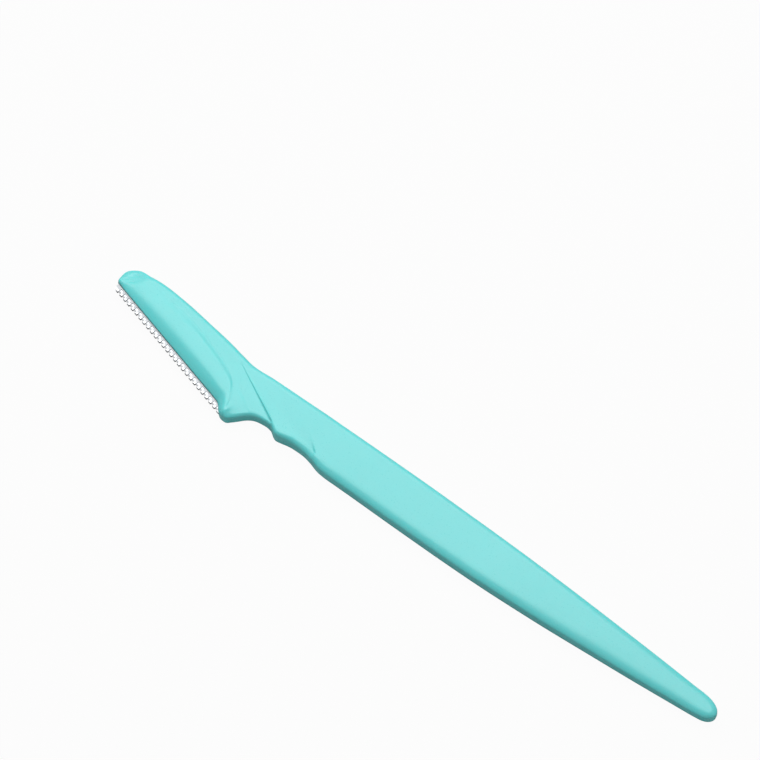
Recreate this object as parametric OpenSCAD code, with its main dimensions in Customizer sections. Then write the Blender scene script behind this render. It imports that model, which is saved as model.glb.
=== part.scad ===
// Eyebrow razor: a one-piece moulded handle whose head holds a thin blade and its folded comb guard.
// Millimetres. The razor lies flat: X runs from the head's tip to the tail, Y across towards the
// back edge, Z up. The origin is on the grip's flat underside, which the razor rests on.

/* [Overall] */
// Length from the tip of the head to the end of the tail
overall_length = 150; // [130:1:180]
// Length of the head, from its tip to the back of the heel
head_length = 39.2; // [34:0.1:44]
// Length of the scalloped neck, from the heel to the second notch
neck_length = 18.6; // [15:0.1:24]

/* [Head] */
// Width of the head at its heel, from the blade line to the back edge
head_width = 10.2; // [9:0.1:12]
// Angle between the blade line and the handle
blade_angle = 13.66; // [10:0.1:17]
// Thickness of the head at the crown of its leaf, before the flats cut it
leaf_thickness = 3.9; // [3.2:0.1:4.4]
// Thickness of the head along its spine, behind the leaf
spine_thickness = 3.3; // [2.8:0.1:3.6]
// Width of the rolled edge beside the blade, from the crest down to the wall
leaf_roll = 4.1; // [3.2:0.1:4.4]
// Width of the rolled edge along the spine and the neck
neck_roll = 1.1; // [0.8:0.05:1.4]

/* [Grip] */
// Width of the grip where it is widest
grip_width = 10.6; // [9:0.1:13]
// Thickness of the grip at its crown, before the flats cut it
grip_thickness = 4; // [3.6:0.1:4.8]
// Thickness between the flats of both faces, which the razor lies on
flat_thickness = 3.8; // [3.2:0.1:4.4]
// Thickness at the end of the tail
tail_thickness = 2.8; // [2.2:0.1:3.4]
// Thickness of the recessed neck beside the heel
neck_thickness = 2.8; // [2.4:0.1:3.2]
// Width of the rolled edge on the blade side of the grip
grip_roll = 3.2; // [2.2:0.1:3.6]
// Width of the rolled edge on the back of the grip
back_roll = 2; // [1.2:0.1:2.4]
// How far the handle's axis lies from the corner where the blade line starts
axis_offset = 2.05; // [1.5:0.05:3]
// How far the wall leans in from the parting line to its upper edge
mould_draft = 0.06; // [0.02:0.01:0.12]

/* [Blade] */
// Thickness of the blade
blade_thickness = 0.25; // [0.2:0.01:0.35]
// How far the cutting edge stands out of the plastic
blade_exposure = 1.15; // [0.9:0.05:1.5]
// Width of the ground bevel at the cutting edge
bevel_width = 0.4; // [0.25:0.05:0.6]
// Depth of the steel that is held inside the head
tang_depth = 3.4; // [2.6:0.1:3.8]
// Plastic between the tip of the head and the start of the steel, along the blade line
tip_gap = 0.75; // [0.6:0.05:1.2]
// Plastic between the end of the steel and the back of the heel, along the blade line
heel_gap = 2.2; // [1.8:0.1:3]

/* [Guard] */
// Thickness of the guard's sheet
sheet_thickness = 0.1; // [0.06:0.01:0.15]
// Distance from the cutting edge to the outside of the fold
edge_setback = 0.24; // [0.2:0.01:0.3]
// Pitch of the windows along the edge
window_pitch = 1.35; // [1:0.05:1.8]
// Length of one window along the edge
window_length = 0.8; // [0.5:0.05:0.9]
// Distance from the plastic to the inner end of a window
window_start = 0.25; // [0.15:0.05:0.6]
// Radius of the two outer corners of the guard and the blade
corner_radius = 1.3; // [0.8:0.1:1.4]
// Least solid sheet between a rounded corner and the nearest window
corner_margin = 0.1; // [0.05:0.05:0.6]

/* [Fixing] */
// Radius of the plastic pegs that pass through the steel
peg_radius = 0.8; // [0.5:0.05:1]
// Number of pegs
peg_count = 4; // [2:1:6]
// Gap between the steel and the plastic round it
seat_clearance = 0.02; // [0.01:0.01:0.05]
// Gap between each leg of the guard and the face of the blade
leg_gap = 0.01; // [0.005:0.005:0.03]

/* [Hidden] */
$fn = 48;

handle_colour = "#86DFDD";
blade_colour = "#D5D9DC";
guard_colour = "#B9BFC4";

// One overrun serves every cut.
overrun = overall_length / 100;

// Handle

grip_length = overall_length - head_length - neck_length;

// Share of the local half thickness that the upright wall takes, below the rolled edge
wall_share = 0.5;
// Length of a curve's handles, as a share of the distance between its two knots
reach_share = 0.36;
// Share of the way from the leaf's crest to the valley that stays level, up to the ridge
ridge_share = 0.5;
// How sharply the spine rises out of the valley beside the leaf
spine_power = 3;
// How sharply the step at the second notch fades towards the back edge
crease_power = 5;
// Rings in a rolled edge, and rows across the leaf and across the rest of the face
roll_rings = 5;
leaf_rows = 5;
body_rows = 8;

// The outline is drawn through knots. Each row of these tables is one knot: its place along the
// head, neck or grip, its distance across, its heading in degrees, its roll, its half thickness,
// and the number of stations since the knot before. Across the head, the distance and the heading
// are taken from the blade line, and elsewhere from the handle's axis.

// Edge of the leaf, from the back of the tip round to the blade line and the heel
leaf_edge_shares = [
    [0.041, 0.477, 229, 0.30, 0.46, 0],
    [0.000, 0.216, 282, 0.28, 0.49, 4],
    [0.003, 0.056, 289, 0.10, 0.50, 4],
    [0.018, 0.000, 0, 0.13, 0.52, 3],
    [0.102, 0.000, 0, 0.56, 0.67, 4],
    [0.306, 0.000, 0, 0.77, 0.83, 7],
    [0.612, 0.000, 0, 0.95, 0.96, 9],
    [0.857, 0.000, 0, 0.68, 1.00, 9],
    [0.893, -0.054, -35, 0.46, 1.00, 4],
    [0.946, -0.142, 12, 0.36, 0.98, 5],
    [0.980, -0.080, 55, 0.29, 0.86, 4],
    [1.000, 0.012, 59, 0.15, 0.72, 4]
];

// Valley between the leaf and the spine. It starts on the crest at the back of the tip and ends on
// the crest of the neck, behind the heel.
valley_shares = [
    [0.128, 0.472, 8, 0, 0.77, 15],
    [0.319, 0.594, 8, 0, 0.87, 7],
    [0.561, 0.655, -2, 0, 0.94, 9],
    [0.830, 0.548, -14, 0, 0.96, 9],
    [0.950, 0.420, -14, 0, 0.93, 9],
    [0.995, 0.372, -13, 0, 0.90, 4]
];
valley_start_heading = 5;
valley_end_heading = -13;
valley_end_stations = 8;

// Blade side of the recessed neck, up to the diagonal crease
neck_front_shares = [
    [0.113, -0.479, 38, 0.45, 1.00, 4],
    [0.253, -0.390, 7, 0.50, 1.00, 5],
    [0.339, -0.384, -7, 0.50, 1.00, 3]
];
// Blade side of the raised neck, from the diagonal crease to the second notch
step_front_shares = [
    [0.366, -0.384, -18, 0.60, 0.94, 1],
    [0.446, -0.464, -25, 0.80, 0.96, 3],
    [0.505, -0.480, 10, 0.90, 0.95, 3],
    [0.699, -0.418, 2, 1.10, 0.89, 5],
    [0.919, -0.441, -14, 1.20, 0.83, 5],
    [0.952, -0.449, -15, 1.25, 0.95, 1]
];
// Blade side of the grip
grip_front_shares = [
    [0.020, -0.510, -5, 0.80, 1.00, 3],
    [0.074, -0.512, 1, 1.00, 1.00, 3],
    [0.241, -0.492, 1, 1.00, 1.00, 4],
    [0.404, -0.457, 2, 1.00, 1.00, 4],
    [0.566, -0.376, 4, 1.00, 0.98, 4],
    [0.751, -0.237, 5, 0.80, 0.88, 5]
];
// Blade side of the tail
tail_front_shares = [
    [0.924, -0.089, 6, 0.60, 1.07, 5],
    [0.974, -0.037, 9, 0.50, 1.02, 4]
];
// End of the tail, where both sides meet
tail_end_shares = [1.000, 0.154, 90, 0.70, 1.00, 8];

// Back edge of the head, the neck, the grip and the tail
tip_back_heading = 35;
head_back_shares = [
    [0.133, 0.625, 22, 0.90, 0.75, 15],
    [0.306, 0.797, 10, 0.90, 0.88, 7],
    [0.523, 0.914, 6, 0.90, 0.95, 9],
    [0.680, 0.986, 6, 0.95, 0.97, 9],
    [0.752, 1.009, 3, 1.00, 0.96, 21]
];
neck_back_shares = [
    [-0.441, 0.461, -9, 1.00, 0.78, 8],
    [-0.414, 0.454, -9, 1.00, 0.78, 1],
    [-0.226, 0.404, -2, 1.05, 0.80, 6],
    [0.016, 0.428, 3, 1.10, 0.83, 5],
    [0.231, 0.440, 2, 1.20, 0.87, 2],
    [0.446, 0.450, 2, 1.20, 0.90, 3],
    [0.473, 0.451, 2, 1.20, 0.90, 1]
];
grip_back_shares = [
    [-0.030, 0.472, 1, 0.85, 0.97, 4],
    [0.111, 0.497, 1, 1.00, 1.00, 4],
    [0.273, 0.514, 0, 1.00, 1.00, 4],
    [0.512, 0.506, -1, 1.00, 1.00, 6],
    [0.729, 0.457, -2, 1.00, 0.90, 5]
];
tail_back_shares = [
    [0.924, 0.389, -3, 0.90, 1.07, 5],
    [0.971, 0.361, -12, 0.85, 1.02, 4]
];

// Knots in millimetres: x, y, heading, roll, half thickness, stations since the knot before
function knot(x, y, heading, row, roll, thickness) =
    [x, y, heading, row[3] * roll, row[4] * thickness / 2, row[5]];
function head_knot(row, roll, thickness) = knot(
    row[0] * head_length,
    row[1] * head_width - row[0] * head_length * tan(blade_angle),
    row[2] - blade_angle,
    row,
    roll,
    thickness
);
function neck_knot(row, roll, thickness) = knot(
    head_length + row[0] * neck_length,
    row[1] * grip_width - axis_offset,
    row[2],
    row,
    roll,
    thickness
);
function grip_knot(row, roll, thickness) = knot(
    head_length + neck_length + row[0] * grip_length,
    row[1] * grip_width - axis_offset,
    row[2],
    row,
    roll,
    thickness
);
// The same knot, met by another curve under another heading
function turned(k, heading, stations) = [k[0], k[1], heading, k[3], k[4], stations];
function last(list) = list[len(list) - 1];

tail_knot = grip_knot(tail_end_shares, back_roll, tail_thickness);
leaf_knots = [for (row = leaf_edge_shares) head_knot(row, leaf_roll, leaf_thickness)];
front_knots = [
    for (row = neck_front_shares) neck_knot(row, neck_roll, neck_thickness),
    for (row = step_front_shares) neck_knot(row, neck_roll, grip_thickness),
    for (row = grip_front_shares) grip_knot(row, grip_roll, grip_thickness),
    for (row = tail_front_shares) grip_knot(row, grip_roll, tail_thickness),
    tail_knot
];
back_knots = [
    turned(leaf_knots[0], tip_back_heading, 0),
    for (row = head_back_shares) head_knot(row, neck_roll, spine_thickness),
    for (row = neck_back_shares) neck_knot(row, neck_roll, grip_thickness),
    for (row = grip_back_shares) grip_knot(row, back_roll, grip_thickness),
    for (row = tail_back_shares) grip_knot(row, back_roll, tail_thickness),
    turned(tail_knot, tail_knot[2] - 180, tail_knot[5])
];
blade_side_knots = concat(leaf_knots, front_knots);

function count_stations(knots, i = 0) =
    i == len(knots) ? 0 : knots[i][5] + count_stations(knots, i + 1);
// The valley lies beside all the stations of the leaf and those up to the first knot of the neck.
leaf_stations = count_stations(leaf_knots) + neck_front_shares[0][5];
stations = count_stations(blade_side_knots);
crease_start = count_stations(concat(leaf_knots, neck_front_shares));
crease_end = crease_start + count_stations(step_front_shares);

// Place of a knot moved into the face by the wall's lean and a share of its roll. Hand is 1 where
// the face lies to the left of the edge, and -1 where it lies to the right.
function moved_in(k, lean, share, hand) =
    [k.x, k.y] + hand * (lean + share * k[3]) * [-sin(k[2]), cos(k[2])];

// Point at t, from 0 to 1, on a cubic curve from a to b that follows both headings
function between(a, b, heading_a, heading_b, t) =
    let (
        reach = reach_share * norm(b - a),
        a_handle = a + reach * [cos(heading_a), sin(heading_a)],
        b_handle = b - reach * [cos(heading_b), sin(heading_b)],
        s = 1 - t
    )
    s ^ 3 * a + 3 * s ^ 2 * t * a_handle + 3 * s * t ^ 2 * b_handle + t ^ 3 * b;

function edge(knots, lean, share, hand) =
    let (places = [for (k = knots) moved_in(k, lean, share, hand)])
    [
        for (i = [1:len(knots) - 1])
            for (n = [0:knots[i][5] - 1])
                between(places[i - 1], places[i], knots[i - 1][2], knots[i][2], n / knots[i][5]),
        last(places)
    ];

// Half thicknesses, eased from knot to knot without passing either of them
function span(knots, i) = norm([knots[i].x - knots[i - 1].x, knots[i].y - knots[i - 1].y]);
function rise(knots, i) = (knots[i][4] - knots[i - 1][4]) / span(knots, i);
function slope(knots, i) =
    i == 0 ? rise(knots, 1)
        : i == len(knots) - 1 ? rise(knots, i)
        : rise(knots, i) * rise(knots, i + 1) <= 0 ? 0
        : 2 * rise(knots, i) * rise(knots, i + 1) / (rise(knots, i) + rise(knots, i + 1));
function heights(knots) = [
    for (i = [1:len(knots) - 1])
        let (
            low = knots[i - 1][4],
            high = knots[i][4],
            pull = span(knots, i) * [slope(knots, i - 1), slope(knots, i)]
        )
            for (n = [0:knots[i][5] - 1])
                let (t = n / knots[i][5], s = 1 - t)
                low + (high - low) * t ^ 2 * (3 - 2 * t) + s * t * (s * pull[0] - t * pull[1]),
    last(knots)[4]
];

// The outline runs from the back of the tip along the blade side to the tail, and returns along
// the back edge. Both sides have the same number of stations.
function loop(front, back) = [
    each front,
    for (i = [len(back) - 2:-1:1]) back[i]
];
function outline(lean, share) = loop(
    edge(blade_side_knots, lean, share, 1),
    edge(back_knots, lean, share, -1)
);
outline_height = loop(heights(blade_side_knots), heights(back_knots));
parting = outline(0, 0);
rim = outline(mould_draft, 0);
crest = outline(mould_draft, 1);
round_count = len(parting);

valley_knots = [
    [crest[0].x, crest[0].y, valley_start_heading - blade_angle, 0, outline_height[0], 0],
    for (row = valley_shares) head_knot(row, 0, spine_thickness),
    [
        crest[leaf_stations].x,
        crest[leaf_stations].y,
        valley_end_heading - blade_angle,
        0,
        outline_height[leaf_stations],
        valley_end_stations
    ]
];
valley = edge(valley_knots, 0, 0, 1);
valley_height = heights(valley_knots);

// Upper face: rings inwards from the rim, then the valley, then rows across the leaf and the rest.
// The flat cuts off whatever would stand out over it.
half_flat = min(flat_thickness, max(leaf_thickness, grip_thickness)) / 2;
function raised(point, z) = [point.x, point.y, min(z, half_flat)];
roll_points = [
    for (j = [0:roll_rings])
        let (turn = 90 * j / roll_rings)
            for (k = [0:round_count - 1])
                raised(
                    rim[k] + (crest[k] - rim[k]) * (1 - cos(turn)),
                    outline_height[k] * (wall_share + (1 - wall_share) * sin(turn))
                )
];
valley_points = [for (i = [1:leaf_stations - 1]) raised(valley[i], valley_height[i])];
leaf_points = [
    for (i = [1:leaf_stations - 1])
        for (w = [1:leaf_rows - 1])
            let (t = w / leaf_rows, way = max(0, (t - ridge_share) / (1 - ridge_share)))
            raised(
                crest[i] + (valley[i] - crest[i]) * t,
                outline_height[i] + (valley_height[i] - outline_height[i]) * way ^ 2 * (3 - 2 * way)
            )
];
function fade(i) =
    lookup(i, [[leaf_stations, spine_power], [crease_start, 1], [crease_end, crease_power]]);
body_points = [
    for (i = [1:stations - 1])
        let (
            on_leaf = i < leaf_stations,
            start = on_leaf ? valley[i] : crest[i],
            start_height = on_leaf ? valley_height[i] : outline_height[i],
            finish = crest[2 * stations - i],
            finish_height = outline_height[2 * stations - i]
        )
            for (v = [1:body_rows - 1])
                let (t = v / body_rows)
                raised(
                    start + (finish - start) * t,
                    finish_height + (start_height - finish_height) * (1 - t) ^ fade(i)
                )
];
face_points = concat(roll_points, valley_points, leaf_points, body_points);
face_count = len(face_points);

// Numbers of those points
valley_index = len(roll_points) - 1;
leaf_index = valley_index + len(valley_points) + 1;
body_index = leaf_index + len(leaf_points);
function on_ring(j, k) = j * round_count + k % round_count;
function on_crest(k) = on_ring(roll_rings, k);
function on_leaf(i, w) =
    i == 0 || i == leaf_stations || w == 0 ? on_crest(i)
        : w == leaf_rows ? valley_index + i
        : leaf_index + (i - 1) * (leaf_rows - 1) + w - 1;
function on_body(i, v) =
    i == 0 || i == stations ? on_crest(i)
        : v == body_rows ? on_crest(2 * stations - i)
        : v > 0 ? body_index + (i - 1) * (body_rows - 1) + v - 1
        : i < leaf_stations ? valley_index + i
        : on_crest(i);

// A four sided cell as triangles, without those that a shared corner closes up
function triangle(a, b, c) = a == b || b == c || a == c ? [] : [[a, b, c]];
function cell(a, b, c, d) = concat(triangle(a, b, c), triangle(a, c, d));

upper_faces = [
    for (j = [0:roll_rings - 1])
        for (k = [0:round_count - 1])
            each cell(on_ring(j, k), on_ring(j + 1, k), on_ring(j + 1, k + 1), on_ring(j, k + 1)),
    for (i = [0:leaf_stations - 1])
        for (w = [0:leaf_rows - 1])
            each cell(on_leaf(i, w), on_leaf(i, w + 1), on_leaf(i + 1, w + 1), on_leaf(i + 1, w)),
    for (i = [0:stations - 1])
        for (v = [0:body_rows - 1])
            each cell(on_body(i, v), on_body(i, v + 1), on_body(i + 1, v + 1), on_body(i + 1, v))
];

// The lower face mirrors the upper one, and the wall joins both rims to the parting line
parting_index = 2 * face_count;
handle_points = concat(
    face_points,
    [for (p = face_points) [p.x, p.y, -p.z]],
    [for (p = parting) raised(p, 0)]
);
handle_faces = [
    each upper_faces,
    for (f = upper_faces) [f[0], f[2], f[1]] + face_count * [1, 1, 1],
    for (k = [0:round_count - 1])
        let (next = (k + 1) % round_count)
            each concat(
                cell(parting_index + k, k, next, parting_index + next),
                cell(face_count + k, parting_index + k, parting_index + next, face_count + next)
            )
];

// Steel

// The blade and the guard are drawn on the blade line: X along it, Y into the head.
strip_start = tip_gap;
strip_length = head_length / cos(blade_angle) - tip_gap - heel_gap;
inner_fold = blade_thickness / 2 + leg_gap;
outer_fold = inner_fold + sheet_thickness;
fold_reach = blade_exposure + edge_setback;
row_start = strip_start + corner_radius + corner_margin;
row_length = strip_length - 2 * (corner_radius + corner_margin);
window_count = floor((row_length - window_length) / window_pitch) + 1;
// How far the ends of the blade stay inside those of the guard, as a share of the setback
blade_inset_share = 0.8;

// Outline of the guard with its two rounded corners, grown on all sides
module strip_plan(grow) {
    translate([strip_start - grow, corner_radius - fold_reach])
        square([strip_length + 2 * grow, tang_depth + fold_reach - corner_radius + grow]);
    translate([strip_start + corner_radius, -fold_reach - grow])
        square([strip_length - 2 * corner_radius, tang_depth + fold_reach + 2 * grow]);
    for (s = [strip_start + corner_radius, strip_start + strip_length - corner_radius])
        translate([s, corner_radius - fold_reach])
            circle(corner_radius + grow);
}

module strip_plate(grow, thickness) {
    linear_extrude(height = thickness, center = true)
        strip_plan(grow);
}

module along_strip() {
    translate([strip_start - overrun, 0, 0])
        rotate([90, 0, 90])
            linear_extrude(height = strip_length + 2 * overrun)
                children();
}

module pegs(radius) {
    for (i = [0:peg_count - 1])
        translate([strip_start + strip_length * (i + 0.5) / peg_count, tang_depth / 2, 0])
            cylinder(r = radius, h = 2 * overrun, center = true);
}

// Section of the sheet's outside or inside: two faces joined by the round fold
module fold_section(radius, depth) {
    translate([outer_fold - fold_reach, 0])
        circle(radius);
    translate([outer_fold - fold_reach, -radius])
        square([fold_reach - outer_fold + depth, 2 * radius]);
}

module windows() {
    for (i = [0:window_count - 1])
        translate([row_start + i * window_pitch, -fold_reach - overrun, -overrun])
            cube([window_length, fold_reach + overrun - window_start, 2 * overrun]);
}

// From the blade line's frame to the razor's own
module on_blade_line() {
    rotate([0, 0, -blade_angle])
        children();
}

module placed() {
    translate([-overall_length / 2, axis_offset, half_flat])
        children();
}

module handle() {
    color(handle_colour)
        placed()
            difference() {
                polyhedron(points = handle_points, faces = handle_faces);
                on_blade_line()
                    difference() {
                        strip_plate(seat_clearance, 2 * (outer_fold + seat_clearance));
                        pegs(peg_radius);
                    }
            }
}

module blade() {
    color(blade_colour)
        placed()
            on_blade_line()
                difference() {
                    intersection() {
                        along_strip()
                            polygon([
                                [-blade_exposure, 0],
                                [bevel_width - blade_exposure, -blade_thickness / 2],
                                [tang_depth, -blade_thickness / 2],
                                [tang_depth, blade_thickness / 2],
                                [bevel_width - blade_exposure, blade_thickness / 2]
                            ]);
                        strip_plate(-edge_setback * blade_inset_share, 2 * overrun);
                    }
                    pegs(peg_radius + seat_clearance);
                }
}

module guard() {
    color(guard_colour)
        placed()
            on_blade_line()
                difference() {
                    intersection() {
                        along_strip()
                            difference() {
                                fold_section(outer_fold, tang_depth + overrun);
                                fold_section(inner_fold, tang_depth + 2 * overrun);
                            }
                        strip_plate(0, 2 * overrun);
                    }
                    windows();
                    pegs(peg_radius + seat_clearance);
                }
}

handle();
blade();
guard();
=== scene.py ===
# %% [markdown]
# # An eyebrow razor of moulded plastic and thin steel
# The imported CAD part gives the frame: a handle, a blade and a folded guard. This lesson gives them
# their finished surfaces, the light of a small studio and the camera of the photograph.
# The CAD part is loaded first. The finished model must not outgrow it.

# %% Load the imported part
import math

import bmesh
import bpy
import numpy as np
from mathutils import Matrix, Vector


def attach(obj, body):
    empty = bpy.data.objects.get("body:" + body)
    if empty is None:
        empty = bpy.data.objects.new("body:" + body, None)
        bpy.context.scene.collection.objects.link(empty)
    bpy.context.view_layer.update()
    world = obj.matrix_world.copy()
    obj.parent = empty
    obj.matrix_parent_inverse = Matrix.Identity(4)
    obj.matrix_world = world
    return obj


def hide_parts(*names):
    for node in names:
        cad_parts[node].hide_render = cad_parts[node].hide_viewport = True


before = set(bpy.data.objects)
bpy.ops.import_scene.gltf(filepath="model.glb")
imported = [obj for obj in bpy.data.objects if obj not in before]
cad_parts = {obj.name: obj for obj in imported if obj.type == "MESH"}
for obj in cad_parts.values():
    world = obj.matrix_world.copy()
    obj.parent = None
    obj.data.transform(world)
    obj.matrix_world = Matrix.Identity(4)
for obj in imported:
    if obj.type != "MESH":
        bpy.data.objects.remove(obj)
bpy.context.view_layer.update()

MM = 0.001
print("CAD nodes:", sorted(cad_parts))

# %% [markdown]
# ## Sizes
# The same named sizes as in the CAD source, in millimetres. The handle is modelled again here with
# a finer mesh, because the light glides over a glossy moulding and shows every facet of a coarse
# one. It follows the same knots, so it fills the same space.

# %% Sizes in millimetres
OVERALL_LENGTH = 150
HEAD_LENGTH = 39.2
NECK_LENGTH = 18.6
GRIP_LENGTH = OVERALL_LENGTH - HEAD_LENGTH - NECK_LENGTH
HEAD_WIDTH = 10.2
BLADE_ANGLE = 13.66
LEAF_THICKNESS = 3.9
SPINE_THICKNESS = 3.3
LEAF_ROLL = 4.1
NECK_ROLL = 1.1
GRIP_WIDTH = 10.6
GRIP_THICKNESS = 4
FLAT_THICKNESS = 3.8
TAIL_THICKNESS = 2.8
NECK_THICKNESS = 2.8
GRIP_ROLL = 3.2
BACK_ROLL = 2
AXIS_OFFSET = 2.05
MOULD_DRAFT = 0.06

# %% [markdown]
# ## The outline as a row of knots
# A mould maker draws such a handle from a few points with a tangent at each. A row is one knot: its
# place along the head, neck or grip and its distance across, both as shares, then its heading, the
# width of the rolled edge there, the half thickness, and the stations since the knot before.

# %% Knots of the outline
LEAF_EDGE = [
    (0.041, 0.477, 229, 0.30, 0.46, 0),
    (0.000, 0.216, 282, 0.28, 0.49, 4),
    (0.003, 0.056, 289, 0.10, 0.50, 4),
    (0.018, 0.000, 0, 0.13, 0.52, 3),
    (0.102, 0.000, 0, 0.56, 0.67, 4),
    (0.306, 0.000, 0, 0.77, 0.83, 7),
    (0.612, 0.000, 0, 0.95, 0.96, 9),
    (0.857, 0.000, 0, 0.68, 1.00, 9),
    (0.893, -0.054, -35, 0.46, 1.00, 4),
    (0.946, -0.142, 12, 0.36, 0.98, 5),
    (0.980, -0.080, 55, 0.29, 0.86, 4),
    (1.000, 0.012, 59, 0.15, 0.72, 4),
]
VALLEY = [
    (0.128, 0.472, 8, 0, 0.77, 15),
    (0.319, 0.594, 8, 0, 0.87, 7),
    (0.561, 0.655, -2, 0, 0.94, 9),
    (0.830, 0.548, -14, 0, 0.96, 9),
    (0.950, 0.420, -14, 0, 0.93, 9),
    (0.995, 0.372, -13, 0, 0.90, 4),
]
VALLEY_START_HEADING = 5
VALLEY_END_HEADING = -13
VALLEY_END_STATIONS = 8
NECK_FRONT = [
    (0.113, -0.479, 38, 0.45, 1.00, 4),
    (0.253, -0.390, 7, 0.50, 1.00, 5),
    (0.339, -0.384, -7, 0.50, 1.00, 3),
]
STEP_FRONT = [
    (0.366, -0.384, -18, 0.60, 0.94, 1),
    (0.446, -0.464, -25, 0.80, 0.96, 3),
    (0.505, -0.480, 10, 0.90, 0.95, 3),
    (0.699, -0.418, 2, 1.10, 0.89, 5),
    (0.919, -0.441, -14, 1.20, 0.83, 5),
    (0.952, -0.449, -15, 1.25, 0.95, 1),
]
GRIP_FRONT = [
    (0.020, -0.510, -5, 0.80, 1.00, 3),
    (0.074, -0.512, 1, 1.00, 1.00, 3),
    (0.241, -0.492, 1, 1.00, 1.00, 4),
    (0.404, -0.457, 2, 1.00, 1.00, 4),
    (0.566, -0.376, 4, 1.00, 0.98, 4),
    (0.751, -0.237, 5, 0.80, 0.88, 5),
]
TAIL_FRONT = [
    (0.924, -0.089, 6, 0.60, 1.07, 5),
    (0.974, -0.037, 9, 0.50, 1.02, 4),
]
TAIL_END = (1.000, 0.154, 90, 0.70, 1.00, 8)
TIP_BACK_HEADING = 35
HEAD_BACK = [
    (0.133, 0.625, 22, 0.90, 0.75, 15),
    (0.306, 0.797, 10, 0.90, 0.88, 7),
    (0.523, 0.914, 6, 0.90, 0.95, 9),
    (0.680, 0.986, 6, 0.95, 0.97, 9),
    (0.752, 1.009, 3, 1.00, 0.96, 21),
]
NECK_BACK = [
    (-0.441, 0.461, -9, 1.00, 0.78, 8),
    (-0.414, 0.454, -9, 1.00, 0.78, 1),
    (-0.226, 0.404, -2, 1.05, 0.80, 6),
    (0.016, 0.428, 3, 1.10, 0.83, 5),
    (0.231, 0.440, 2, 1.20, 0.87, 2),
    (0.446, 0.450, 2, 1.20, 0.90, 3),
    (0.473, 0.451, 2, 1.20, 0.90, 1),
]
GRIP_BACK = [
    (-0.030, 0.472, 1, 0.85, 0.97, 4),
    (0.111, 0.497, 1, 1.00, 1.00, 4),
    (0.273, 0.514, 0, 1.00, 1.00, 4),
    (0.512, 0.506, -1, 1.00, 1.00, 6),
    (0.729, 0.457, -2, 1.00, 0.90, 5),
]
TAIL_BACK = [
    (0.924, 0.389, -3, 0.90, 1.07, 5),
    (0.971, 0.361, -12, 0.85, 1.02, 4),
]


def head_knot(row, roll, thickness):
    along = row[0] * HEAD_LENGTH
    across = row[1] * HEAD_WIDTH - along * math.tan(math.radians(BLADE_ANGLE))
    return [along, across, row[2] - BLADE_ANGLE, row[3] * roll, row[4] * thickness / 2, row[5]]


def neck_knot(row, roll, thickness):
    along = HEAD_LENGTH + row[0] * NECK_LENGTH
    across = row[1] * GRIP_WIDTH - AXIS_OFFSET
    return [along, across, row[2], row[3] * roll, row[4] * thickness / 2, row[5]]


def grip_knot(row, roll, thickness):
    along = HEAD_LENGTH + NECK_LENGTH + row[0] * GRIP_LENGTH
    across = row[1] * GRIP_WIDTH - AXIS_OFFSET
    return [along, across, row[2], row[3] * roll, row[4] * thickness / 2, row[5]]


tail_knot = grip_knot(TAIL_END, BACK_ROLL, TAIL_THICKNESS)
leaf_knots = [head_knot(row, LEAF_ROLL, LEAF_THICKNESS) for row in LEAF_EDGE]
front_knots = (
    leaf_knots
    + [neck_knot(row, NECK_ROLL, NECK_THICKNESS) for row in NECK_FRONT]
    + [neck_knot(row, NECK_ROLL, GRIP_THICKNESS) for row in STEP_FRONT]
    + [grip_knot(row, GRIP_ROLL, GRIP_THICKNESS) for row in GRIP_FRONT]
    + [grip_knot(row, GRIP_ROLL, TAIL_THICKNESS) for row in TAIL_FRONT]
    + [tail_knot]
)
back_knots = (
    [leaf_knots[0][:2] + [TIP_BACK_HEADING] + leaf_knots[0][3:5] + [0]]
    + [head_knot(row, NECK_ROLL, SPINE_THICKNESS) for row in HEAD_BACK]
    + [neck_knot(row, NECK_ROLL, GRIP_THICKNESS) for row in NECK_BACK]
    + [grip_knot(row, BACK_ROLL, GRIP_THICKNESS) for row in GRIP_BACK]
    + [grip_knot(row, BACK_ROLL, TAIL_THICKNESS) for row in TAIL_BACK]
    + [tail_knot[:2] + [tail_knot[2] - 180] + tail_knot[3:]]
)
print("knots:", len(front_knots), "on the blade side and", len(back_knots), "on the back")

# %% [markdown]
# ## From knots to smooth rows of points
# Between two knots runs a cubic curve that follows both headings. The half thickness is eased in
# between, so that the faces swell and sink without a kink. FINE is the number of steps that this
# mesh takes for each station of the CAD part.

# %% Curves through the knots
FINE = 3
REACH_SHARE = 0.36


def moved_in(knot, lean, share, hand):
    x, y, heading, roll = knot[:4]
    turn = math.radians(heading)
    inward = hand * (lean + share * roll)
    return np.array([x - inward * math.sin(turn), y + inward * math.cos(turn)])


def steps_between(knots):
    for i in range(1, len(knots)):
        count = knots[i][5] * FINE
        yield i, np.arange(count) / count


def edge(knots, lean, share, hand):
    places = [moved_in(knot, lean, share, hand) for knot in knots]
    parts = []
    for i, t in steps_between(knots):
        a, b = places[i - 1], places[i]
        reach = REACH_SHARE * np.linalg.norm(b - a)
        turn_a, turn_b = math.radians(knots[i - 1][2]), math.radians(knots[i][2])
        a_handle = a + reach * np.array([math.cos(turn_a), math.sin(turn_a)])
        b_handle = b - reach * np.array([math.cos(turn_b), math.sin(turn_b)])
        t = t[:, None]
        s = 1 - t
        parts.append(s**3 * a + 3 * s**2 * t * a_handle + 3 * s * t**2 * b_handle + t**3 * b)
    return np.vstack(parts + [places[-1][None]])


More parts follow.
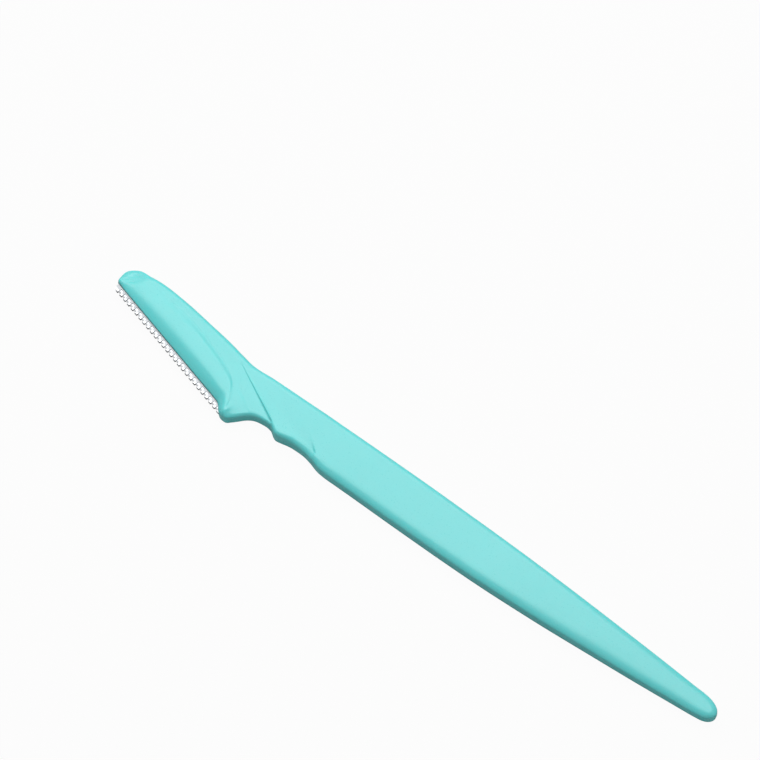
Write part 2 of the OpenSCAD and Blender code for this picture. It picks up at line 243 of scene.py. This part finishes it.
def eased_heights(knots):
    span = [math.dist(a[:2], b[:2]) for a, b in zip(knots, knots[1:])]
    rise = [(b[4] - a[4]) / s for a, b, s in zip(knots, knots[1:], span)]
    slope = [rise[0]]
    for before, after in zip(rise, rise[1:]):
        slope.append(0 if before * after <= 0 else 2 * before * after / (before + after))
    slope.append(rise[-1])
    parts = []
    for i, t in steps_between(knots):
        low, high = knots[i - 1][4], knots[i][4]
        s = 1 - t
        ease = s * slope[i - 1] - t * slope[i]
        parts.append(low + (high - low) * t**2 * (3 - 2 * t) + s * t * span[i - 1] * ease)
    return np.append(np.concatenate(parts), knots[-1][4])


front = {share: edge(front_knots, MOULD_DRAFT, share, 1) for share in (0, 1)}
back = {share: edge(back_knots, MOULD_DRAFT, share, -1) for share in (0, 1)}
front_parting, back_parting = edge(front_knots, 0, 0, 1), edge(back_knots, 0, 0, -1)
front_height, back_height = eased_heights(front_knots), eased_heights(back_knots)
for of_front, of_back in ((front[0], back[0]), (front[1], back[1]), (front_parting, back_parting)):
    of_back[0], of_back[-1] = of_front[0], of_front[-1]
back_height[0], back_height[-1] = front_height[0], front_height[-1]

steps = len(front_height) - 1
leaf_steps = (sum(row[5] for row in LEAF_EDGE) + NECK_FRONT[0][5]) * FINE
crease_start = sum(row[5] for row in LEAF_EDGE + NECK_FRONT) * FINE
crease_end = crease_start + sum(row[5] for row in STEP_FRONT) * FINE

valley_knots = (
    [[*front[1][0], VALLEY_START_HEADING - BLADE_ANGLE, 0, front_height[0], 0]]
    + [head_knot(row, 0, SPINE_THICKNESS) for row in VALLEY]
    + [[*front[1][leaf_steps], VALLEY_END_HEADING - BLADE_ANGLE, 0, front_height[leaf_steps],
        VALLEY_END_STATIONS]]
)
valley = edge(valley_knots, 0, 0, 1)
valley_height = eased_heights(valley_knots)
print("steps along each side:", steps, "of them on the leaf:", leaf_steps)

# %% [markdown]
# ## The handle's skin from four grids
# A grid is the plainest mesh there is, and any four sided patch can be made from one by moving its
# points. Two long grids wrap the wall and the rolled edge on both sides. One covers the leaf of the
# head, and one covers the rest of the face. The face is polished flat where the razor rests on it,
# which a soft limit on the height gives, with no hard line round the flat.
#
# Four forms are only some tenths of a millimetre deep and show in the light alone, so they are
# made here. Beside the blade the rolled edge is cut straighter, like a slanted face over a lower
# lip, which carries a broad shade. On the lobe behind the blade the leaf's ridge runs out softly.
# The grip's back edge is squarer than a round one, so its shade is a thin line. The grip is crowned
# by a tenth of a millimetre, as moulded faces are, so that they don't look hollow once the plastic
# has shrunk.

# %% A grid shaped by a rule
ROLL_STEPS = 14
LEAF_ROWS = 14
FACE_ROWS = 22
WALL_SHARE = 0.5
RIDGE_SHARE = 0.5
SPINE_POWER = 3
CREASE_POWER = 5
FLAT_BLEND = 0.05
LIP_HEIGHT = 0.7
SLANT_WIDTH = 3.3
ROUND_POWER = 0.5
SLANT_POWER = 0.9
SQUARE_POWER = 0.3
SLANT_STARTS = (9, 15)
SLANT_ENDS = (42, 55)
LOBE_STARTS = (40, 50)
LOBE_ENDS = (60, 67)
CROWN_SHARE = 0.055
CROWN_STARTS = (87, 93)
CROWN_ENDS = (112, 127)
SQUARE_STARTS = (62, 84)
SQUARE_ENDS = (118, 127)


def add_patch(bm, columns, rows, rule, rounds):
    made = bmesh.ops.create_grid(bm, x_segments=columns, y_segments=rows, size=1)["verts"]
    for v in made:
        i = round((v.co.x + 1) / 2 * columns)
        j = round((v.co.y + 1) / 2 * rows)
        v.co = rule(i, j)
        v[bm.verts.layers.int["rounds"]] = rounds(i, j)


def limited(height):
    below = (FLAT_THICKNESS / 2 - height) / FLAT_BLEND
    return FLAT_THICKNESS / 2 - FLAT_BLEND * np.logaddexp(0, below)


def rolled_edge(parting, rim, crest, height, slanted, power):
    def rule(i, j):
        if j == 0:
            return (*parting[i], 0)
        across = 1 - math.cos(math.pi / 2 * (j - 1) / ROLL_STEPS)
        width = math.dist(rim[i], crest[i])
        wall = height[i] * WALL_SHARE
        wall += (LIP_HEIGHT - wall) * slanted[i]
        narrowed = width + (min(width, SLANT_WIDTH) - width) * slanted[i]
        rise = (1 - (1 - min(across * width / narrowed, 1)) ** 2) ** power[i]
        flat = rim[i] + (crest[i] - rim[i]) * across
        return (*flat, limited(wall + (height[i] - wall) * rise) * crown(i, flat))
    return rule


def eased(i, start, end):
    t = min(max((i / FINE - start) / (end - start), 0), 1)
    return t**2 * (3 - 2 * t)


beside_blade = [eased(i, *SLANT_STARTS) - eased(i, *SLANT_ENDS) for i in range(steps + 1)]
nowhere = [0] * (steps + 1)
crowned = [eased(i, *CROWN_STARTS) - eased(i, *CROWN_ENDS) for i in range(steps + 1)]
squared = [eased(i, *SQUARE_STARTS) - eased(i, *SQUARE_ENDS) for i in range(steps + 1)]
front_power = [ROUND_POWER + (SLANT_POWER - ROUND_POWER) * share for share in beside_blade]
back_power = [ROUND_POWER + (SQUARE_POWER - ROUND_POWER) * share for share in squared]


def crown(i, flat):
    middle, half = (front[0][i] + back[0][i]) / 2, math.dist(front[0][i], back[0][i]) / 2
    return 1 - CROWN_SHARE * crowned[i] * (math.dist(flat, middle) / half) ** 2 if half else 1


def leaf_face(i, j):
    t = j / LEAF_ROWS
    flat = front[1][i] + (valley[i] - front[1][i]) * t
    ridge = RIDGE_SHARE * (1 - eased(i, *LOBE_STARTS))
    way = max(0, (t - ridge) / (1 - ridge))
    drop = (front_height[i] - valley_height[i]) * way**2 * (3 - 2 * way)
    return (*flat, limited(front_height[i] - drop))


def rest_of_face(i, j):
    t = j / FACE_ROWS
    on_leaf = i < leaf_steps
    start = valley[i] if on_leaf else front[1][i]
    start_height = valley_height[i] if on_leaf else front_height[i]
    power = np.interp(
        i, (leaf_steps, crease_start, crease_end), (SPINE_POWER, 1, CREASE_POWER)
    )
    z = back_height[i] + (start_height - back_height[i]) * (1 - t) ** power
    flat = start + (back[1][i] - start) * t
    return (*flat, limited(z) * crown(i, flat))


# %% [markdown]
# ## One skin with blended meetings
# The real mould was polished by hand, so its faces run into each other with no line. The patches
# could be joined by fillets, but their meetings change in width all the way. Instead, the welded
# patches are smoothed where they meet: each height is drawn to that of its neighbours, some rounds
# long. The tip and the lobe take the most rounds. Only heights move, so the outline stays.

# %% Rounds of smoothing for each place
WELD = 0.0005
BLEND_FACTOR = 0.5
VALLEY_ROUNDS = 12
CREASE_ROUNDS = 3
TIP_ROUNDS = 60
LOBE_ROUNDS = 160
TIP_ENDS = (7, 17)
CREASE_BLEND = (83, 91)
FRONT_ROWS_KEPT = 4
BACK_ROWS_KEPT = 7


def rounds_at(i):
    station = i / FINE
    if i in (0, steps):
        return 0
    if station > LOBE_ENDS[1]:
        return CREASE_ROUNDS if CREASE_BLEND[0] < station < CREASE_BLEND[1] else 0
    at_tip = 1 - eased(i, *TIP_ENDS)
    at_lobe = eased(i, *LOBE_STARTS) - eased(i, *LOBE_ENDS)
    more = (TIP_ROUNDS - VALLEY_ROUNDS) * at_tip + (LOBE_ROUNDS - VALLEY_ROUNDS) * at_lobe
    return round(VALLEY_ROUNDS + more)


def leaf_rounds(i, j):
    return rounds_at(i) if 0 < i < leaf_steps and j > 0 else 0


def rest_rounds(i, j):
    return rounds_at(i) if j < FACE_ROWS and (j > 0 or i < leaf_steps) else 0


def front_rounds(i, j):
    straight = TIP_ENDS[1] < i / FINE < LOBE_STARTS[1]
    return rounds_at(i) if j > FRONT_ROWS_KEPT and not straight else 0


def back_rounds(i, j):
    return rounds_at(i) if j > BACK_ROWS_KEPT and i / FINE < TIP_ENDS[1] else 0


# %% Four patches welded, mirrored and put in place
bm = bmesh.new()
bm.verts.layers.int.new("rounds")
front_roll = rolled_edge(front_parting, front[0], front[1], front_height, beside_blade, front_power)
back_roll = rolled_edge(back_parting, back[0], back[1], back_height, nowhere, back_power)
add_patch(bm, steps, ROLL_STEPS + 1, front_roll, front_rounds)
add_patch(bm, steps, ROLL_STEPS + 1, back_roll, back_rounds)
add_patch(bm, leaf_steps, LEAF_ROWS, leaf_face, leaf_rounds)
add_patch(bm, steps, FACE_ROWS, rest_of_face, rest_rounds)
bmesh.ops.remove_doubles(bm, verts=bm.verts, dist=WELD)
rounds = bm.verts.layers.int["rounds"]
for done in range(LOBE_ROUNDS):
    still = [v for v in bm.verts if v[rounds] > done]
    bmesh.ops.smooth_vert(bm, verts=still, factor=BLEND_FACTOR, use_axis_z=True)
bmesh.ops.dissolve_degenerate(bm, edges=bm.edges, dist=WELD)
bmesh.ops.mirror(bm, geom=bm.verts[:] + bm.edges[:] + bm.faces[:], axis="Z", merge_dist=WELD)
bmesh.ops.recalc_face_normals(bm, faces=bm.faces)
to_frame = Matrix.Scale(MM, 4) @ Matrix.Translation(
    (-OVERALL_LENGTH / 2, AXIS_OFFSET, FLAT_THICKNESS / 2)
)
bmesh.ops.transform(bm, matrix=to_frame, verts=bm.verts)
open_edges = sum(not e.is_manifold for e in bm.edges)
print("handle skin:", len(bm.faces), "faces,", open_edges, "open edges")
assert open_edges == 0


def add_object(name, bm, smooth=True):
    mesh = bpy.data.meshes.new(name)
    bm.to_mesh(mesh)
    bm.free()
    mesh.polygons.foreach_set("use_smooth", [smooth] * len(mesh.polygons))
    piece = bpy.data.objects.new(name, mesh)
    bpy.context.scene.collection.objects.link(piece)
    return piece


handle = add_object("moulded_handle", bm)

# %% [markdown]
# ## The slot that holds the steel
# The steel is moulded into the head. A plate of the steel's outline, a hair larger all round, is
# cut out of the handle. Its two outer corners are rounded with a bevel on the corner points. Round
# pegs of plastic cross the slot, so the same pegs are first cut out of the plate.

# %% Sizes of the steel in millimetres
BLADE_THICKNESS = 0.25
BLADE_EXPOSURE = 1.15
TANG_DEPTH = 3.4
TIP_GAP = 0.75
HEEL_GAP = 2.2
SHEET_THICKNESS = 0.1
EDGE_SETBACK = 0.24
CORNER_RADIUS = 1.3
CORNER_SEGMENTS = 8
ROUND_PROFILE = 0.5
PEG_RADIUS = 0.8
PEG_COUNT = 4
PEG_LENGTH = 2
PEG_SIDES = 32
SEAT_CLEARANCE = 0.02
LEG_GAP = 0.01

STRIP_LENGTH = HEAD_LENGTH / math.cos(math.radians(BLADE_ANGLE)) - TIP_GAP - HEEL_GAP
FOLD_REACH = BLADE_EXPOSURE + EDGE_SETBACK
OUTER_FOLD = BLADE_THICKNESS / 2 + LEG_GAP + SHEET_THICKNESS

blade_line = to_frame @ Matrix.Rotation(math.radians(-BLADE_ANGLE), 4, "Z")


# %% Cut the slot
def apply_boolean(target, cutter):
    cut = target.modifiers.new("cut", "BOOLEAN")
    cut.operation = "DIFFERENCE"
    cut.solver = "EXACT"
    cut.object = cutter
    bpy.context.view_layer.update()
    shaped = target.evaluated_get(bpy.context.evaluated_depsgraph_get())
    mesh = bpy.data.meshes.new_from_object(shaped)
    old = target.data
    target.modifiers.clear()
    target.data = mesh
    bpy.data.meshes.remove(old)
    bpy.data.objects.remove(cutter)


def slot_plate():
    bm = bmesh.new()
    x0, x1 = TIP_GAP - SEAT_CLEARANCE, TIP_GAP + STRIP_LENGTH + SEAT_CLEARANCE
    y0, y1 = -FOLD_REACH - SEAT_CLEARANCE, TANG_DEPTH + SEAT_CLEARANCE
    half = OUTER_FOLD + SEAT_CLEARANCE
    corners = [bm.verts.new((x, y, -half)) for x, y in ((x0, y0), (x1, y0), (x1, y1), (x0, y1))]
    bm.faces.new(corners)
    bmesh.ops.bevel(
        bm, geom=corners[:2], offset=CORNER_RADIUS, segments=CORNER_SEGMENTS,
        profile=ROUND_PROFILE, affect="VERTICES", material=-1,
    )
    raised = bmesh.ops.extrude_face_region(bm, geom=bm.faces[:])["geom"]
    top = [g for g in raised if isinstance(g, bmesh.types.BMVert)]
    bmesh.ops.translate(bm, vec=(0, 0, 2 * half), verts=top)
    bmesh.ops.recalc_face_normals(bm, faces=bm.faces)
    bmesh.ops.transform(bm, matrix=blade_line, verts=bm.verts)
    return add_object("slot_plate", bm, smooth=False)


def peg_row():
    bm = bmesh.new()
    for i in range(PEG_COUNT):
        place = Matrix.Translation(
            (TIP_GAP + STRIP_LENGTH * (i + 0.5) / PEG_COUNT, TANG_DEPTH / 2, 0)
        )
        bmesh.ops.create_cone(
            bm, cap_ends=True, segments=PEG_SIDES, radius1=PEG_RADIUS, radius2=PEG_RADIUS,
            depth=PEG_LENGTH, matrix=place,
        )
    bmesh.ops.transform(bm, matrix=blade_line, verts=bm.verts)
    return add_object("peg_row", bm, smooth=False)


slot_cutter = slot_plate()
apply_boolean(slot_cutter, peg_row())
apply_boolean(handle, slot_cutter)
print("handle after the cut:", len(handle.data.polygons), "faces")

# %% [markdown]
# ## Shading the handle's edges
# A moulding has round edges, and only the mouth of the slot is sharp. Every face is shaded smooth,
# and the edges that turn by more than 50 degrees are marked sharp, which are those of the slot.

# %% Sharp slot on a smooth handle
SHARP_TURN = 50

handle.data.polygons.foreach_set("use_smooth", [True] * len(handle.data.polygons))
handle.data.set_sharp_from_angle(angle=math.radians(SHARP_TURN))
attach(handle, "root")
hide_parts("handle")

# %% [markdown]
# ## How the finishes are made
# Each finish is a node tree on the Principled shader. Colours are written as hex values in sRGB, as
# a picture editor shows them, and one function turns them to the linear values that Blender uses.
# Another function adds a node with its settings and links. Patterns are sized by the real distance
# between their marks, in millimetres.


# %% Helpers for the finishes
def linear(hex_code):
    parts = [int(hex_code[i:i + 2], 16) / 255 for i in (1, 3, 5)]
    return tuple(c / 12.92 if c <= 0.04045 else ((c + 0.055) / 1.055) ** 2.4 for c in parts) + (1,)


def add_node(tree, kind, settings, inputs):
    node = tree.nodes.new(kind)
    for name, value in settings.items():
        setattr(node, name, value)
    for name, value in inputs.items():
        if isinstance(value, bpy.types.NodeSocket):
            tree.links.new(value, node.inputs[name])
        else:
            node.inputs[name].default_value = value
    return node.outputs


def marks_per_metre(size):
    return 1 / (size * MM)


def new_finish(name):
    finish = bpy.data.materials.new(name)
    finish.use_nodes = True
    finish.node_tree.nodes.clear()
    place = add_node(finish.node_tree, "ShaderNodeTexCoord", {}, {})["Object"]
    return finish, finish.node_tree, place


# %% [markdown]
# ## Injection moulded polystyrene
# The handle is a pale teal polystyrene from a polished mould. The plastic is dense with pigment, so
# it looks even, with a soft gloss. Cooling leaves the faces very slightly wavy, the melt leaves
# faint clouds in the colour, and the mould's polish a fine grain that breaks up the gloss.

# %% Plastic of the handle
SINK_SIZE = 7
SINK_DEPTH = 0.012
CLOUD_SIZE = 14
GRAIN_SIZE = 0.35
GRAIN_DEPTH = 0.0006
NOISE_LOW, NOISE_HIGH = 0.3, 0.7
GLOSS_LOW, GLOSS_HIGH = 0.26, 0.36
POLYSTYRENE_IOR = 1.59
MIRROR_SHARE = 0.34
SCATTER_SHARE = 0.6
SCATTER_DEPTH = 0.7
SCATTER_COLOURS = (0.25, 1.0, 0.95)

plastic, tree, place = new_finish("injection_moulded_polystyrene")
clouds = add_node(
    tree, "ShaderNodeTexNoise", {},
    {"Vector": place, "Scale": marks_per_metre(CLOUD_SIZE), "Detail": 2, "Roughness": 0.4},
)["Fac"]
sinks = add_node(
    tree, "ShaderNodeTexNoise", {},
    {"Vector": place, "Scale": marks_per_metre(SINK_SIZE), "Detail": 1, "Roughness": 0.3},
)["Fac"]
grain = add_node(
    tree, "ShaderNodeTexNoise", {},
    {"Vector": place, "Scale": marks_per_metre(GRAIN_SIZE), "Detail": 2, "Roughness": 0.6},
)["Fac"]
tint = add_node(
    tree, "ShaderNodeMix", {"data_type": "RGBA"},
    {"Factor": clouds, 6: linear("#63D4D3"), 7: linear("#6BD9D9")},
)[2]
gloss = add_node(
    tree, "ShaderNodeMapRange", {},
    {
        "Value": grain, "From Min": NOISE_LOW, "From Max": NOISE_HIGH,
        "To Min": GLOSS_LOW, "To Max": GLOSS_HIGH,
    },
)["Result"]
wavy = add_node(
    tree, "ShaderNodeBump", {}, {"Height": sinks, "Distance": SINK_DEPTH * MM, "Strength": 1}
)["Normal"]
fine = add_node(
    tree, "ShaderNodeBump", {},
    {"Height": grain, "Distance": GRAIN_DEPTH * MM, "Strength": 1, "Normal": wavy},
)["Normal"]
shader = add_node(
    tree, "ShaderNodeBsdfPrincipled", {},
    {
        "Base Color": tint, "Roughness": gloss, "Normal": fine, "IOR": POLYSTYRENE_IOR,
        "Specular IOR Level": MIRROR_SHARE, "Subsurface Weight": SCATTER_SHARE,
        "Subsurface Radius": SCATTER_COLOURS, "Subsurface Scale": SCATTER_DEPTH * MM,
    },
)["BSDF"]
add_node(tree, "ShaderNodeOutputMaterial", {}, {"Surface": shader})
handle.data.materials.clear()
handle.data.materials.append(plastic)
print("finish:", plastic.name)

# %% [markdown]
# ## Two kinds of stainless steel
# The blade is ground, so its fine scratches run from the tang to the edge. Its honed bevel, and the
# guard's outer edge, are painted a lighter steel: a painted highlight for the glint of those faces.
# The guard is rolled sheet, so its lines run along it. A painted picture could show this, but the
# marks would not follow the sizes, so a noise stretched along one way draws them. The real lines
# are finer than the render can show, and these lie about a quarter of a millimetre apart.

# %% Steel of the blade and of the guard
LINE_PITCH = 0.25
LINE_LENGTH = 9
LINE_DEPTH = 0.0012
BEVEL_WIDTH = 0.4
BEVEL_BLUR = 0.03
BEVEL_START = BEVEL_WIDTH - BLADE_EXPOSURE + BEVEL_BLUR
BEVEL_END = BEVEL_WIDTH - BLADE_EXPOSURE - BEVEL_BLUR
GLOSS_SPREAD = 0.07


def steel(name, colour, glint_colour, along, roughness):
    finish, tree, place = new_finish(name)
    pitch, length = marks_per_metre(LINE_PITCH), marks_per_metre(LINE_LENGTH)
    scale = (length, pitch, pitch) if along else (pitch, length, pitch)
    lined_up = add_node(
        tree, "ShaderNodeMapping", {"vector_type": "POINT"},
        {
            "Vector": place, "Rotation": (0, 0, math.radians(BLADE_ANGLE)),
            "Location": blade_line.inverted().translation * MM,
        },
    )["Vector"]
    across = add_node(tree, "ShaderNodeSeparateXYZ", {}, {"Vector": lined_up})["Y"]
    bevel = add_node(
        tree, "ShaderNodeMapRange", {},
        {
            "Value": across, "From Min": BEVEL_START * MM, "From Max": BEVEL_END * MM,
            "To Min": 0, "To Max": 1,
        },
    )["Result"]
    # The band along the edge takes the lighter colour: a painted highlight for the glint of the
    # bevel.
    tint = add_node(
        tree, "ShaderNodeMix", {"data_type": "RGBA"},
        {"Factor": bevel, 6: linear(colour), 7: linear(glint_colour)},
    )[2]
    stretched = add_node(
        tree, "ShaderNodeMapping", {"vector_type": "POINT"}, {"Vector": lined_up, "Scale": scale}
    )["Vector"]
    lines = add_node(
        tree, "ShaderNodeTexNoise", {},
        {"Vector": stretched, "Scale": 1, "Detail": 2, "Roughness": 0.6},
    )["Fac"]
    gloss = add_node(
        tree, "ShaderNodeMapRange", {},
        {
            "Value": lines, "From Min": NOISE_LOW, "From Max": NOISE_HIGH,
            "To Min": roughness - GLOSS_SPREAD, "To Max": roughness + GLOSS_SPREAD,
        },
    )["Result"]
    relief = add_node(
        tree, "ShaderNodeBump", {}, {"Height": lines, "Distance": LINE_DEPTH * MM, "Strength": 1}
    )["Normal"]
    shader = add_node(
        tree, "ShaderNodeBsdfPrincipled", {},
        {"Base Color": tint, "Metallic": 1, "Roughness": gloss, "Normal": relief},
    )["BSDF"]
    add_node(tree, "ShaderNodeOutputMaterial", {}, {"Surface": shader})
    return finish


# The second colour of each steel is the painted highlight of its edge band.
for node, finish in (
    ("blade", steel("ground_stainless_steel", "#888B8E", "#B2B4B6", False, 0.31)),
    ("guard", steel("rolled_stainless_sheet", "#787A7C", "#9FA1A3", True, 0.37)),
):
    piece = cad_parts[node]
    piece.data.materials.clear()
    piece.data.materials.append(finish)
    print("finish:", finish.name)

# %% [markdown]
# ## A white table and a soft studio
# The photograph was taken on a white surface under one large soft lamp. The table is white for the
# camera and in reflections, and still takes a soft shadow, because part of its look is plain white
# paint. The lamp hangs above the far side, so the slopes that fall towards the blade lie in a soft
# shade, and it is near enough for the tail to be a little darker than the head. The air adds the
# rest, and is brighter in reflections, as the white walls of a studio are for the steel.

# %% Table, air and lamps
TABLE_SIZE = 6
TABLE_DROP = 0.02
GLOW_SHARE = 0.96
REFLECTED_GLOW_SHARE = 0.08
AIR_LIGHT = 0.24
REFLECTED_AIR = 0.8
LAMP_SPOT = (-0.20, 0.225, 0.575)
LAMP_SIZE = 0.62
LAMP_POWER = 4.1

bm = bmesh.new()
bmesh.ops.create_grid(bm, x_segments=4, y_segments=4, size=TABLE_SIZE / 2)
bmesh.ops.translate(bm, vec=(0, 0, -TABLE_DROP * MM), verts=bm.verts)
table = add_object("table", bm)

paint, tree, place = new_finish("matt_white_paint")
rays = add_node(tree, "ShaderNodeLightPath", {}, {})
reflected = add_node(
    tree, "ShaderNodeMath", {"operation": "ADD", "use_clamp": True},
    {0: rays["Is Glossy Ray"], 1: rays["Is Transmission Ray"]},
)[0]
share = add_node(
    tree, "ShaderNodeMath", {"operation": "MULTIPLY"}, {0: reflected, 1: REFLECTED_GLOW_SHARE}
)[0]
share = add_node(
    tree, "ShaderNodeMath", {"operation": "MULTIPLY_ADD"},
    {0: rays["Is Camera Ray"], 1: GLOW_SHARE, 2: share},
)[0]
matt = add_node(
    tree, "ShaderNodeBsdfDiffuse", {}, {"Color": linear("#C4C4C4"), "Roughness": 1}
)["BSDF"]
glow = add_node(
    tree, "ShaderNodeEmission", {}, {"Color": linear("#FFFFFF"), "Strength": 1}
)["Emission"]
mixed = add_node(tree, "ShaderNodeMixShader", {}, {0: share, 1: matt, 2: glow})["Shader"]
add_node(tree, "ShaderNodeOutputMaterial", {}, {"Surface": mixed})
table.data.materials.append(paint)

air = bpy.data.worlds.new("air")
bpy.context.scene.world = air
air.use_nodes = True
tree = air.node_tree
tree.nodes.clear()
rays = add_node(tree, "ShaderNodeLightPath", {}, {})
reflected = add_node(
    tree, "ShaderNodeMath", {"operation": "ADD", "use_clamp": True},
    {0: rays["Is Glossy Ray"], 1: rays["Is Transmission Ray"]},
)[0]
strength = add_node(
    tree, "ShaderNodeMath", {"operation": "MULTIPLY_ADD"},
    {0: reflected, 1: REFLECTED_AIR - AIR_LIGHT, 2: AIR_LIGHT},
)[0]
strength = add_node(
    tree, "ShaderNodeMath", {"operation": "MULTIPLY_ADD"},
    {0: rays["Is Camera Ray"], 1: 1 - AIR_LIGHT, 2: strength},
)[0]
sky = add_node(
    tree, "ShaderNodeBackground", {}, {"Color": linear("#FFFFFF"), "Strength": strength}
)["Background"]
add_node(tree, "ShaderNodeOutputWorld", {}, {"Surface": sky})

data = bpy.data.lights.new("softbox", "AREA")
data.shape = "DISK"
data.size = LAMP_SIZE
data.energy = LAMP_POWER
lamp = bpy.data.objects.new("softbox", data)
bpy.context.scene.collection.objects.link(lamp)
lamp.location = LAMP_SPOT
lamp.rotation_euler = (-Vector(LAMP_SPOT)).to_track_quat("-Z", "Y").to_euler()
print("lamp:", lamp.name, "at", LAMP_SPOT)

# %% [markdown]
# ## The camera of the photograph
# The place of the camera was found from the razor's own outline: it looks down by about 60 degrees
# from the blade side, from a little over half a metre, so the tail comes out slightly larger than
# the head. The frame is square.

# %% Camera
SENSOR_WIDTH = 36
LENS = 142.1
CAMERA_SPOT = (0.1723, -0.2143, 0.5137)
CAMERA_TARGET = (-0.0201, 0.0190, 0)
NEAREST = 0.01

data = bpy.data.cameras.new("camera")
data.sensor_width = SENSOR_WIDTH
data.lens = LENS
data.clip_start = NEAREST
camera = bpy.data.objects.new("camera", data)
bpy.context.scene.collection.objects.link(camera)
camera.location = CAMERA_SPOT
camera.rotation_euler = (
    (Vector(CAMERA_TARGET) - Vector(CAMERA_SPOT)).to_track_quat("-Z", "Y").to_euler()
)
bpy.context.scene.camera = camera
bpy.context.scene.view_settings.view_transform = "Standard"

# %% [markdown]
# ## The last update
# The view layer is updated once more at the end.

# %% Update the scene
bpy.context.view_layer.update()
